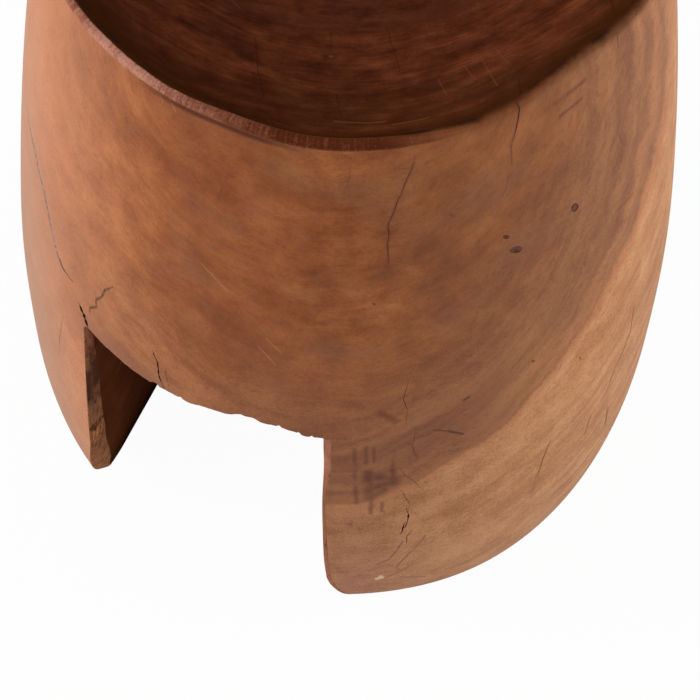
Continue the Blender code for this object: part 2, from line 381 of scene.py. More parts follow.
def upright_edge(name, end, left, material):
    """Bar for one upright edge of the channel's mouth, at the front (-1) or back (+1)."""
    top = CEILING_HEIGHTS[0] if left else CEILING_HEIGHTS[-1]
    foot = np.linspace(0.0, FOOT_ROUNDING, 7)[:-1]
    z = np.concatenate([[FLOOR_CUT], foot, np.linspace(FOOT_ROUNDING, top, 60)])
    turn = (LEFT_TURN if left else RIGHT_TURN) + 0.0 * z
    offset = left_offset(z) if left else right_offset(z)
    front, back = mouth_distances(offset, z, turn)
    corner = channel_points(offset, z, turn, front if end < 0 else back)
    inward = -end * np.stack([np.sin(turn), np.cos(turn), 0.0 * z], axis=-1)
    centre_x, centre_y = axis_at(np.maximum(z, 0.0))
    radial = np.stack([corner[:, 0] - centre_x, corner[:, 1] - centre_y, 0.0 * z], axis=-1)
    sense = (-1.0 if left else 1.0) * (1.0 if end < 0 else -1.0)
    outward = unit(np.cross(np.array([0.0, 0.0, sense]), radial))
    wear = 1.0 + 0.10 * smooth_noise(6, 90.0 * z)
    if left:
        inward_size = np.interp(z, LEFT_HEIGHTS, LEFT_BEVEL_INWARD) * wear
        outward_size = np.interp(z, LEFT_HEIGHTS, LEFT_BEVEL_OUTWARD) * wear
        return edge_cutter(name, corner, inward, outward, inward_size, outward_size, FLAT, material)
    size = np.interp(z, RIGHT_HEIGHTS, RIGHT_ARRIS) * wear
    return edge_cutter(name, corner, inward, outward, size, size, ROUNDED, material)


def ceiling_edge(name, end, material):
    """Bar for the edge where the ceiling meets the wall, with chips at the given places."""
    share = np.linspace(-0.02, 1.02, 300)
    height = np.interp(share, CEILING_SHARES, CEILING_HEIGHTS)
    left_top = left_offset(CEILING_HEIGHTS[0])
    offset = left_top + (right_offset(CEILING_HEIGHTS[-1]) - left_top) * share
    turn = LEFT_TURN + (RIGHT_TURN - LEFT_TURN) * share
    front, back = mouth_distances(offset, height, turn)
    corner = channel_points(offset, height, turn, front if end < 0 else back)
    centre_x, centre_y = axis_at(height)
    theta = np.arctan2(corner[:, 1] - centre_y, corner[:, 0] - centre_x)
    up = wall_frame(theta, height)[3]
    inward = -end * np.stack([np.sin(turn), np.cos(turn), 0.0 * share], axis=-1)
    size = 0.0010 + 0.0003 * smooth_noise(9, 60.0 * share) + 0.00015 * smooth_noise(9, 240.0 * share)
    for place, width, depth in CHIPS:
        size = size + depth * np.exp(-((share - place) / width) ** 4)
    return edge_cutter(name, corner, inward, up, 2.0 * size, size, ROUNDED, material)


def crack_path(points, step=0.0016, wander=0.0003):
    """Angles and heights along a crack: straight runs between its points, with a small wander across them."""
    points = np.array(points, float)
    theta = np.radians(points[:, 0])
    z = points[:, 1] * 0.001
    length = np.hypot(np.diff(theta) * BELLY_RADIUS, np.diff(z))
    run = np.concatenate([[0.0], np.cumsum(length)])
    along = np.linspace(0.0, run[-1], max(4, int(run[-1] / step)))
    drift = wander * smooth_noise(5, 700.0 * along)
    return np.interp(along, run, theta) + drift / BELLY_RADIUS, np.interp(along, run, z), along / run[-1]


# Open cracks: degrees round the wall and heights in millimetres, then width and depth in metres
CRACKS = (
    (((-138.4, 222.5), (-136.9, 216.1), (-135.6, 208.0)), 0.0022, 0.006),
    (((-121.6, 222.6), (-120.6, 214.7), (-120.5, 207.5), (-119.4, 196.0)), 0.0010, 0.004),
    (((-118.8, 214.9), (-119.1, 208.2), (-118.4, 197.0)), 0.0003, 0.002),
    (((-81.2, 142.6), (-79.6, 131.4), (-79.0, 123.6), (-79.2, 116.0)), 0.0005, 0.002),
    (((-79.6, 123.5), (-79.0, 112.0), (-79.4, 100.5)), 0.0008, 0.003),
    (((-79.5, 109.0), (-80.0, 95.0)), 0.0010, 0.003),
    (((-78.0, 100.0), (-78.9, 92.0), (-78.7, 83.0)), 0.0006, 0.002),
    (((-63.0, 410.0), (-63.6, 378.0), (-64.0, 368.0), (-64.8, 358.5)), 0.0006, 0.006),
    (((-143.2, 201.0), (-144.3, 188.7), (-145.5, 174.5), (-146.3, 158.8)), 0.0004, 0.002),
)

# Closed cracks, in the same way: thin lines in the grain, browner than the open ones
HAIRLINES = (
    (
        ((-80.8, 364.0), (-80.9, 356.3), (-82.9, 339.6), (-84.6, 324.2), (-84.5, 307.2), (-84.1, 298.0)),
        0.0004,
        0.0012,
    ),
    (((-65.1, 350.0), (-65.9, 335.2), (-67.0, 327.4), (-68.3, 312.1)), 0.0002, 0.0010),
    (((-79.0, 188.2), (-79.3, 176.5), (-79.1, 171.0), (-78.3, 164.8)), 0.0004, 0.0015),
    (((-79.9, 166.1), (-79.2, 158.5), (-76.7, 150.7)), 0.0003, 0.0012),
    (((-90.2, 360.5), (-90.7, 351.6), (-91.3, 339.4)), 0.0002, 0.0010),
    (((-108.9, 345.4), (-110.1, 337.0), (-110.9, 327.0)), 0.0002, 0.0010),
    (((-80.4, 228.9), (-81.3, 212.2), (-80.4, 204.4), (-80.7, 191.6)), 0.0004, 0.0015),
    (((-81.3, 159.7), (-80.2, 152.2), (-78.5, 144.8), (-76.8, 135.2)), 0.0004, 0.0020),
    (((-79.3, 88.7), (-81.2, 68.2), (-83.5, 60.4)), 0.0003, 0.0012),
    (((-75.5, 89.9), (-77.8, 72.3), (-79.9, 53.9)), 0.0003, 0.0012),
    (((-75.6, 65.1), (-78.0, 49.7), (-81.2, 39.0)), 0.0003, 0.0012),
    (((-34.3, 200.5), (-34.0, 180.6), (-35.7, 168.8), (-38.3, 157.7), (-39.5, 144.0)), 0.0005, 0.0015),
    (((-37.6, 124.0), (-37.2, 114.0), (-37.0, 105.0)), 0.0007, 0.0015),
    (((-53.4, 139.4), (-54.6, 125.9), (-55.4, 110.9), (-55.5, 93.6)), 0.0004, 0.0012),
    (((-42.6, 393.0), (-42.3, 388.0), (-42.2, 380.0)), 0.0005, 0.0020),
)
# Filled cracks, in degrees round the wall and heights in millimetres
CORNER_FILL = (
    (-129.5, 251.6), (-131.4, 246.0), (-132.1, 239.7), (-133.6, 234.4), (-133.4, 229.9), (-135.2, 225.2),
    (-135.2, 219.9),
)
SIDE_FILL = (
    (-161.8, 304.4), (-155.1, 290.5), (-149.8, 273.4), (-146.9, 256.6), (-144.8, 243.3), (-142.8, 236.5),
    (-139.8, 233.6),
)
# Filled holes: degrees round the wall, height in millimetres, width and height in metres, and turn
PLUGS = {
    "oval_hole_plug": (-52.9, 306.6, 0.0056, 0.0047, -0.35),
    "double_hole_plug": (-64.0, 296.1, 0.0077, 0.0038, -0.27),
    "small_hole_plug": (-65.8, 305.5, 0.0044, 0.0021, -0.42),
}
PLUG_DEPTH = 0.010
PLUG_CLEARANCE = 0.0002
# Width and depth of the filled cracks
CORNER_FILL_SIZE = (0.0017, 0.0070)
SIDE_FILL_SIZE = (0.0023, 0.0080)
# How far a cutter stands out of the wall, and how far the paste lies below it and is smaller than its groove
GROOVE_PROUD = 0.0015
HOLE_PROUD = 0.003
PASTE_PROUD = -0.00002
PASTE_SHRINK = 0.00003
# Angles in radians above which an edge stays sharp
TRUNK_SHARP = math.radians(32.0)
PLUG_SHARP = math.radians(40.0)
# The floor: half its length, its height, and how much of it is plain white to the camera
FLOOR_REACH = 4.0
FLOOR_LEVEL = -0.0002
FLOOR_WHITE = 0.965
# The camera and the lights: the place that the lights are aimed at, and the level of the light from all round
CAMERA_PLACE = (0.0015, -0.7214, 0.770)
CAMERA_TILT = math.radians(45.0)
CAMERA_LENS = 72.0
CAMERA_SENSOR = 36.0
CAMERA_SHIFT = 0.0084
LIGHT_AIM = (0.0, 0.0, 0.2)
ROUND_LIGHT = 0.32

# Marks on the wall's face, from one place to another in degrees and millimetres, with half their width
# in metres
DARK_STREAKS = (
    ((-76.1, 185.8), (-73.7, 182.6), 0.0007),
    ((-73.7, 182.6), (-71.2, 177.3), 0.0013),
    ((-71.5, 204.1), (-70.7, 205.4), 0.0013),
    ((-59.8, 216.3), (-59.4, 215.3), 0.0010),
    ((-49.4, 198.6), (-49.2, 196.6), 0.0008),
    ((-86.4, 278.6), (-86.2, 278.2), 0.0009),
)
SOFT_STREAKS = (
    ((-88.4, 176.3), (-88.1, 153.0), 0.0024),
    ((-86.6, 178.4), (-86.5, 165.4), 0.0022),
    ((-85.4, 177.3), (-85.2, 165.8), 0.0018),
    ((-82.4, 172.8), (-82.2, 157.7), 0.0026),
    ((-87.9, 145.2), (-87.6, 130.8), 0.0026),
    ((-85.4, 132.9), (-85.2, 120.9), 0.0024),
    ((-83.6, 129.4), (-83.5, 122.0), 0.0022),
    ((-84.6, 204.0), (-82.2, 197.2), 0.0040),
    ((-80.9, 356.3), (-82.9, 339.6), 0.0014),
    ((-82.9, 339.6), (-84.6, 324.2), 0.0014),
    ((-84.6, 324.2), (-84.4, 303.0), 0.0014),
    ((-79.5, 87.0), (-81.2, 68.2), 0.0012),
    ((-81.2, 68.2), (-83.5, 60.4), 0.0012),
    ((-75.5, 89.9), (-77.8, 72.3), 0.0012),
    ((-77.8, 72.3), (-79.9, 53.9), 0.0012),
    ((-78.0, 49.7), (-81.2, 39.0), 0.0012),
    ((-78.5, 37.0), (-73.2, 28.6), 0.0014),
    ((-63.6, 377.9), (-64.0, 368.0), 0.0016),
    ((-64.0, 368.0), (-65.2, 355.0), 0.0015),
    ((-65.2, 355.0), (-65.1, 346.0), 0.0011),
    ((-59.0, 368.5), (-50.6, 374.8), 0.0022),
    ((-56.1, 362.0), (-51.5, 366.0), 0.0018),
    ((-79.8, 177.5), (-78.5, 165.5), 0.0024),
    ((-42.9, 286.8), (-37.9, 289.0), 0.0011),
    ((-42.4, 334.0), (-41.6, 327.0), 0.0011),
    ((-75.2, 326.3), (-74.6, 324.6), 0.0017),
    ((-88.8, 111.3), (-88.5, 110.7), 0.0012),
    ((-85.2, 80.3), (-84.8, 79.9), 0.0011),
    ((-34.3, 200.5), (-34.0, 180.6), 0.0012),
    ((-34.0, 180.6), (-38.3, 157.7), 0.0012),
    ((-38.3, 157.7), (-39.5, 144.0), 0.0013),
    ((-37.6, 124.0), (-37.0, 105.0), 0.0020),
    ((-43.5, 134.0), (-44.2, 120.0), 0.0017),
    ((-53.4, 139.4), (-54.6, 125.9), 0.0012),
    ((-54.6, 125.9), (-55.5, 93.6), 0.0013),
    ((-136.9, 206.0), (-137.2, 172.0), 0.0012),
    ((-137.2, 172.0), (-138.4, 122.0), 0.0014),
    ((-138.4, 122.0), (-139.4, 95.0), 0.0012),
)
STAIN_STREAKS = (
    ((-85.9, 157.0), (-85.5, 136.0), 0.0062),
    ((-84.2, 153.0), (-82.0, 150.0), 0.0072),
    ((-84.6, 145.0), (-82.0, 147.5), 0.0072),
    ((-85.0, 138.0), (-83.4, 141.5), 0.0050),
    ((-82.2, 158.0), (-81.9, 147.0), 0.0042),
)
PALE_SCRATCHES = (
    ((-113.0, 291.3), (-108.3, 278.0), 0.0005),
    ((-103.5, 246.9), (-100.7, 235.9), 0.0005),
    ((-102.3, 252.5), (-100.0, 245.2), 0.0005),
    ((-92.3, 128.5), (-86.0, 128.5), 0.0030),
    ((-124.5, 323.5), (-123.7, 320.6), 0.0006),
    ((-121.9, 375.3), (-121.2, 371.9), 0.0005),
    ((-120.0, 375.7), (-118.7, 369.7), 0.0006),
    ((-85.4, 270.9), (-85.0, 270.5), 0.0007),
)
BARE_CHIP = (
    ((-82.8, 39.0), (-82.1, 40.0), 0.0025),
    ((-82.3, 42.4), (-82.1, 40.4), 0.0021),
)

# Marks on the seat, from one place to another in millimetres on plan, with half their width in metres
SEAT_CRACKS = (
    ((-48.8, -38.6), (-45.3, -75.9), 0.0008),
    ((-45.3, -75.9), (-41.1, -115.9), 0.0008),
    ((-2.3, -94.9), (0.4, -130.3), 0.0007),
    ((-6.0, -20.0), (-5.5, -42.0), 0.0006),
    ((26.0, -12.0), (32.0, -70.0), 0.0006),
    ((89.0, -128.8), (87.4, -151.1), 0.0009),
    ((142.6, -64.5), (140.4, -90.5), 0.0012),
)
SEAT_SCRATCHES = (
    ((51.9, -87.3), (55.0, -113.6), 0.0006),
    ((75.1, -74.4), (79.2, -124.7), 0.0006),
    ((83.6, -66.9), (87.1, -100.7), 0.0006),
    ((66.0, -80.0), (70.0, -104.0), 0.0005),
    ((-64.0, 0.1), (-59.0, -6.7), 0.0007),
)
SEAT_GOLD = (
    ((-3.0, -137.0), (14.6, -140.2), 0.0020),
    ((14.6, -140.2), (22.0, -139.5), 0.0018),
    ((26.0, -146.0), (44.0, -143.0), 0.0014),
)
SEAT_KNOT = (((-8.0, -47.8), (-5.4, -47.6), 0.0050),)
KNOT_HEART = (((-6.0, -47.5), (-5.8, -47.5), 0.0026),)


def lofted_piece(name, made, material):
    """Mesh object from the points and faces of one loft."""
    points, faces = made
    return new_piece(name, points, faces, [material])


def crack_wedge(path, width, depth):
    """Wedge along a crack: widest in its middle, drawn out to nothing at both ends."""
    theta, z, share = crack_path(path)
    point, outward = wall_frame(theta, z)[:2]
    run = unit(np.gradient(point, axis=0))
    side = unit(np.cross(outward, run))
    taper = np.clip(4.0 * share * (1.0 - share), 0.03, 1.0) ** 0.5
    half = (0.5 * width * taper * (1.0 + 0.4 * smooth_noise(6, 40.0 * share)))[:, None]
    half = np.maximum(half, 0.00004)
    top = point + outward * GROOVE_PROUD
    root = point - outward * (depth * taper)[:, None]
    return loft(np.stack([top - side * half * 1.3, top + side * half * 1.3, root], axis=1)[:, ::-1])


def fill_strip(path, width, depth, proud, shrink):
    """Square-cut strip along a filled crack: narrower and shorter by the shrink, its ends drawn in."""
    theta, z, share = crack_path(path, wander=0.0)
    point, outward = wall_frame(theta, z)[:2]
    run = unit(np.gradient(point, axis=0))
    side = unit(np.cross(outward, run))
    taper = np.clip(8.0 * share * (1.0 - share), 0.35, 1.0)
    half = (0.5 * width * taper - shrink)[:, None]
    top = point + outward * proud
    root = point - outward * (depth - shrink)
    inset = np.zeros(len(share))
    inset[0], inset[-1] = shrink, -shrink
    top = top + run * inset[:, None]
    root = root + run * inset[:, None]
    corners = [top - side * half, top + side * half, root + side * half, root - side * half]
    return loft(np.stack(corners, axis=1)[:, ::-1])


def plug_rings(angle, height, wide, high, tilt, levels, widths):
    """Oval rings into the wall at the given levels below it, each as wide as its share of the oval."""
    theta = np.array([math.radians(angle)])
    point, outward, across, up = (part[0] for part in wall_frame(theta, np.array([height * 0.001])))
    turn = np.linspace(0.0, 2.0 * np.pi, 40, endpoint=False)
    wobble = 1.0 + 0.05 * np.sin(2.0 * turn + angle) + 0.03 * np.sin(3.0 * turn + 2.0 * angle)
    along = 0.5 * wide * np.cos(turn) * wobble
    above = 0.5 * high * np.sin(turn) * wobble
    level_x = along * math.cos(tilt) - above * math.sin(tilt)
    level_y = along * math.sin(tilt) + above * math.cos(tilt)
    flat = level_x[:, None] * across + level_y[:, None] * up
    levels = np.array(levels)[:, None, None]
    widths = np.array(widths)[:, None, None]
    return point + flat * widths - outward * levels


def cut(target, cutter):
    """Boolean difference, applied at once; the cutter is then removed."""
    modifier = target.modifiers.new(cutter.name, "BOOLEAN")
    modifier.operation = "DIFFERENCE"
    modifier.solver = "MANIFOLD"
    modifier.object = cutter
    made = bpy.data.meshes.new_from_object(target.evaluated_get(bpy.context.evaluated_depsgraph_get()))
    target.modifiers.clear()
    old = target.data
    target.data = made
    bpy.data.meshes.remove(old)
    bpy.data.objects.remove(cutter)


class Value:
    """A number's socket in a finish; arithmetic on it adds Math nodes."""

    def __init__(self, finish, socket):
        self.finish = finish
        self.socket = socket

    def math(self, operation, first, second=0.0):
        """One Math node on two numbers or values."""
        return self.finish.add("ShaderNodeMath", {"operation": operation}, {0: first, 1: second})

    def __add__(self, other):
        return self.math("ADD", self, other)

    __radd__ = __add__

    def __mul__(self, other):
        return self.math("MULTIPLY", self, other)

    __rmul__ = __mul__

    def __sub__(self, other):
        return self.math("SUBTRACT", self, other)

    def __rsub__(self, other):
        return self.math("SUBTRACT", other, self)

    def __truediv__(self, other):
        return self.math("DIVIDE", self, other)

    def __abs__(self):
        return self.math("ABSOLUTE", self)

    def root(self):
        """Square root."""
        return self.math("SQRT", self)

    def least(self, other):
        """The smaller of two."""
        return self.math("MINIMUM", self, other)

    def most(self, other):
        """The larger of two."""
        return self.math("MAXIMUM", self, other)

    def rise(self, low, high):
        """0 below low, 1 above high, and smooth between; a high under the low turns it round."""
        return self.finish.add(
            "ShaderNodeMapRange",
            {"interpolation_type": "SMOOTHSTEP"},
            {0: self, 1: low, 2: high},
        )


class Finish:
    """A material with its Principled shader, and the pieces that its pattern is made of."""

    def __init__(self, name, specular, roughness):
        self.material = bpy.data.materials.new(name)
        self.material.use_nodes = True
        self.tree = self.material.node_tree
        self.shader = self.tree.nodes["Principled BSDF"]
        self.shader.inputs["Specular IOR Level"].default_value = specular
        self.shader.inputs["Roughness"].default_value = roughness
        self.place = self.add("ShaderNodeTexCoord", output="Object")
        self.x, self.y, self.z = (
            self.add("ShaderNodeSeparateXYZ", inputs={0: self.place}, output=axis) for axis in range(3)
        )

    def add(self, kind, settings=None, inputs=None, output=0):
        """Any node: its settings are set first, then each socket gets a value or a link."""
        node = self.tree.nodes.new(kind)
        for name, setting in (settings or {}).items():
            if name == "stops":
                ramp = node.color_ramp
                while len(ramp.elements) < len(setting):
                    ramp.elements.new(0.5)
                for element, (position, colour) in zip(ramp.elements, setting):
                    element.position = position
                    element.color = (*colour, OPAQUE)
            else:
                setattr(node, name, setting)
        for name, given in (inputs or {}).items():
            if isinstance(given, Value):
                self.tree.links.new(given.socket, node.inputs[name])
            elif isinstance(given, tuple) and len(given) == 3 and node.inputs[name].type == "RGBA":
                node.inputs[name].default_value = (*given, OPAQUE)
            else:
                node.inputs[name].default_value = given
        return Value(self, node.outputs[output])

    def vector(self, x, y, z):
        """A place from three numbers or values."""
        return self.add("ShaderNodeCombineXYZ", inputs={0: x, 1: y, 2: z})

    def noise(self, where, scale, detail=2.0, roughness=0.5):
        """Smooth noise about 0.5 at a place."""
        values = {"Vector": where, "Scale": scale, "Detail": detail, "Roughness": roughness}
        return self.add("ShaderNodeTexNoise", inputs=values, output="Fac")

    def ramp(self, value, stops):
        """Colour at a value, from stops of position and colour."""
        return self.add("ShaderNodeValToRGB", {"stops": stops}, {0: value}, output="Color")

    def blend(self, amount, first, second):
        """The first colour, turned into the second by an amount from 0 to 1."""
        settings = {"data_type": "RGBA", "blend_type": "MIX"}
        return self.add("ShaderNodeMix", settings, {0: amount, 6: first, 7: second}, output=2)

    def attribute(self, name):
        """A number that each point of the piece carries."""
        return self.add("ShaderNodeAttribute", {"attribute_name": name}, output="Fac")

    def feed(self, name, given):
        """Link a value or colour to the shader."""
        self.tree.links.new(given.socket, self.shader.inputs[name])

    def bump(self, height, strength, distance):
        """Relief in the shader's normal from a height."""
        values = {"Strength": strength, "Distance": distance, "Height": height}
        self.feed("Normal", self.add("ShaderNodeBump", inputs=values, output="Normal"))


def ring_distance(finish, centre_x, centre_z):
    """Distance from an axis that runs front to back, as the growth rings of this log do."""
    across = finish.x - centre_x
    above = finish.z - centre_z
    return (across * across + above * above).root()


def grain_place(finish, distance, across, along):
    """Noise place that is fine across the growth rings and long along them."""
    return finish.vector(distance * across, finish.x * along, finish.y * along)


def stroke(first, second, start, end, half_width, core):
    """1 along a straight mark between two places, falling to 0 between its core and its half width."""
    run_first = end[0] - start[0]
    run_second = end[1] - start[1]
    square = run_first ** 2 + run_second ** 2
    away_first = first - start[0]
    away_second = second - start[1]
    share = (away_first * (run_first / square) + away_second * (run_second / square)).most(0.0).least(1.0)
    gap_first = away_first - share * run_first
    gap_second = away_second - share * run_second
    return (gap_first * gap_first + gap_second * gap_second).root().rise(half_width, core * half_width)


def on_log(place):
    """Length round the wall and height, in metres, of a place in degrees and millimetres."""
    return math.radians(place[0]) * ARC_RADIUS, place[1] * 0.001


def on_plan(place):
    """Plan place in metres of one in millimetres."""
    return place[0] * 0.001, place[1] * 0.001


def all_strokes(first, second, measure, marks, core=0.2):
    """The strongest of several strokes, whose core is a share of their half width."""
    strokes = [stroke(first, second, measure(start), measure(end), half, core) for start, end, half in marks]
    total = strokes[0]
    for other in strokes[1:]:
        total = total.most(other)
    return total


def grain_noises(wood):
    """Noises of the wall by name: even ones, and ones drawn out along the growth rings."""
    warp = (wood.noise(wood.place, 9.0, 2.0) - 0.5) * 0.05
    ring = ring_distance(wood, -0.004, 0.45) + warp
    return {
        "mottle": wood.noise(wood.place, 12.0, 3.0, 0.5),
        "blotch": wood.noise(wood.place, 52.0, 4.0, 0.62),
        "grit": wood.noise(wood.place, 860.0, 3.0, 0.75),
        "warp": warp + 0.5,
        "cloud": wood.noise(grain_place(wood, ring, 58.0, 32.0), 1.0, 4.0, 0.6),
        "broad": wood.noise(grain_place(wood, ring, 110.0, 9.0), 1.0, 3.0, 0.5),
        "short": wood.noise(grain_place(wood, ring, 330.0, 85.0), 1.0, 4.0, 0.65),
        "pores": wood.noise(grain_place(wood, ring, 1000.0, 300.0), 1.0, 2.0, 0.6),
        "grey": wood.noise(grain_place(wood, ring, 34.0, 16.0), 1.0, 3.0, 0.55),
    }


def weighed(noises, start, **weights):
    """A start value plus each named noise's departure from its middle, times its weight."""
    total = start
    for name, weight in weights.items():
        total = (noises[name] - 0.5) * weight + total
    return total


def wall_colour(wood, noises):
    """Red-brown heartwood, paler to the left and greyer to the right, inside a pale sapwood edge below. The
    paler left is partly the wood's own colour and partly painted light and painted sheen.
    """
    x, y, z = wood.x, wood.y, wood.z
    # Left: paler and pinker to the left, partly the wood's own colour, partly painted light and painted sheen
    # from the lamp on that side
    left = x.rise(-0.085, -0.185)
    right = x.rise(0.05, 0.17)
    tone = weighed(noises, 0.5, mottle=0.65, blotch=0.80, cloud=0.80, broad=0.45, short=0.42, grit=0.40)
    tone = tone + (noises["grit"] - 0.5) * z.rise(0.28, 0.14) * 0.80
    left_tone = weighed(noises, 0.5, mottle=0.40, blotch=0.34, cloud=0.20, grit=0.80, short=0.12)
    left_tone = left_tone + weighed(noises, 0.0, broad=0.75, short=0.55) * y.rise(-0.090, 0.0)
    heart = wood.ramp(tone, (
        (0.22, (0.185, 0.049, 0.0138)),
        (0.42, (0.275, 0.077, 0.0215)),
        (0.58, (0.350, 0.107, 0.0316)),
        (0.80, (0.455, 0.155, 0.0475)),
    ))
    heart = wood.blend(x.rise(-0.01, 0.07) * 0.30, heart, (0.345, 0.145, 0.066))
    shaded = x.rise(-0.125, -0.075) * x.rise(0.005, -0.045) * z.rise(0.19, 0.26)
    heart = wood.blend(shaded * 0.30, heart, (0.235, 0.064, 0.020))
    # Paler colours on the left: partly painted light and painted sheen
    heart = wood.blend(left * 0.88, heart, wood.ramp(left_tone, (
        (0.25, (0.410, 0.162, 0.081)),
        (0.50, (0.500, 0.202, 0.103)),
        (0.78, (0.600, 0.254, 0.130)),
    )))
    # Painted light: the middle of the wall above the channel lighter, as if lit by light bounced up from the
    # floor
    middle = x.rise(-0.100, -0.030) * x.rise(0.060, 0.0) * z.rise(0.280, 0.225)
    heart = wood.blend(middle * 0.40, heart, (0.350, 0.124, 0.056))
    # Painted light: the left paler still towards the top; near the foot it is darker and browner
    heart = wood.blend(left * z.rise(0.27, 0.36) * 0.30, heart, (0.640, 0.275, 0.140))
    heart = wood.blend(left * z.rise(0.11, 0.03) * 0.35, heart, (0.400, 0.150, 0.066))
    grey_patches = noises["grey"].rise(0.50, 0.68) * (1.0 - left * 0.95)
    heart = wood.blend(grey_patches * 0.40, heart, (0.265, 0.112, 0.058))

    edge = ring_distance(wood, -0.010, 0.340) - 0.214
    edge = edge + x.rise(-0.005, 0.060) * 0.0155 + x.rise(0.055, 0.155) * 0.0105
    wander = (wood.noise(wood.place, 30.0, 4.0, 0.6) - 0.5) * 0.016
    edge = weighed(noises, edge, blotch=0.005, grit=0.005) + wander
    noises["bands"] = wood.noise(wood.vector(edge * 110.0, x * 9.0, y * 9.0), 1.0, 4.0, 0.6)
    zone_tone = weighed(noises, 0.46, bands=1.20, blotch=0.30, short=0.30, grit=0.45)
    zone_tone = zone_tone + edge.rise(-0.045, 0.0) * 0.12
    zone = wood.ramp(zone_tone, (
        (0.28, (0.220, 0.087, 0.041)),
        (0.50, (0.350, 0.142, 0.062)),
        (0.72, (0.490, 0.208, 0.089)),
    ))
    heart = wood.blend(edge.rise(-0.110, -0.030) * (1.0 - left) * 0.80, heart, zone)
    shade = edge.rise(-0.065, -0.030) * edge.rise(0.004, -0.006) * (1.0 - left) * x.rise(0.120, 0.050)
    shade = shade * (x.rise(0.020, 0.080) * 0.55 + 0.45)
    roughened = weighed(noises, 0.62, grit=1.6, short=1.1, blotch=0.5)
    heart = wood.blend(roughened * shade, heart, (0.190, 0.062, 0.030))

    sap = wood.ramp(weighed(noises, tone, bands=0.55, grit=0.2), (
        (0.25, (0.445, 0.184, 0.073)),
        (0.50, (0.555, 0.246, 0.102)),
        (0.78, (0.645, 0.320, 0.147)),
    ))
    sap = wood.blend(x.rise(0.095, 0.0) * 0.68, sap, wood.ramp(tone, (
        (0.25, (0.300, 0.108, 0.050)),
        (0.50, (0.395, 0.152, 0.073)),
        (0.78, (0.500, 0.205, 0.102)),
    )))
    lines = ring_distance(wood, -0.010, 0.340) + (noises["warp"] - 0.5) * 0.3
    streaks = wood.noise(wood.vector(lines * 210.0, y * 13.0, 0.0), 1.0, 5.0, 0.62).rise(0.46, 0.68)
    sap = wood.blend(streaks * right * edge.rise(0.010, 0.060) * 0.60, sap, (0.290, 0.146, 0.070))
    softness = left * 0.03 + right * 0.003 + 0.0012
    colour = wood.blend(edge.rise(softness * -1.0, softness) * (1.0 - left * 0.75), heart, sap)
    seam = edge.rise(-0.001, 0.001) * edge.rise(0.008, 0.002) * (1.0 - left)
    colour = wood.blend(seam * 0.60, colour, (0.510, 0.190, 0.080))
    wavy_y = y + (noises["mottle"] - 0.5) * 0.10
    colour = wood.blend(streaks * left * wavy_y.rise(-0.080, 0.030) * 0.50, colour, (0.300, 0.124, 0.060))
    # Painted sheen: the far left edge, seen at a grazing angle, washed greyer as by a reflection
    far_left_sheen = x.rise(-0.150, -0.195) * wavy_y.rise(0.090, -0.060)
    colour = wood.blend(far_left_sheen * 0.55, colour, (0.345, 0.212, 0.148))
    return wood.blend(noises["pores"].rise(0.53, 0.70) * (0.35 - left * 0.25), colour, (0.150, 0.050, 0.020))


def marked(wood, noises, arc, colour):
    """The wall's colour with its stain, streaks, scratches and bare chip on it."""
    z = wood.z
    blotch = noises["blotch"]
    soft = all_strokes(arc + (blotch - 0.5) * 0.004, z, on_log, SOFT_STREAKS, 0.0) * blotch.rise(0.28, 0.52)
    wavy_z = z + (noises["cloud"] - 0.5) * 0.005
    stain = all_strokes(arc + (blotch - 0.5) * 0.004, wavy_z, on_log, STAIN_STREAKS, 0.0)
    stain = stain * (0.60 + blotch.rise(0.35, 0.62) * 0.40)
    colour = wood.blend((stain * 0.85).most(soft * 0.55), colour, (0.128, 0.036, 0.0215))
    colour = wood.blend(all_strokes(arc, z, on_log, DARK_STREAKS) * 0.80, colour, (0.085, 0.030, 0.022))
    colour = wood.blend(all_strokes(arc, z, on_log, PALE_SCRATCHES) * 0.35, colour, (0.58, 0.25, 0.12))
    bare = all_strokes(arc + (noises["grit"] - 0.5) * 0.002, z, on_log, BARE_CHIP)
    colour = wood.blend(bare.rise(0.10, 0.35), colour, (0.78, 0.55, 0.36))
    return wood.blend(wood.attribute("edge_grey") * 0.60, colour, (0.230, 0.092, 0.060))


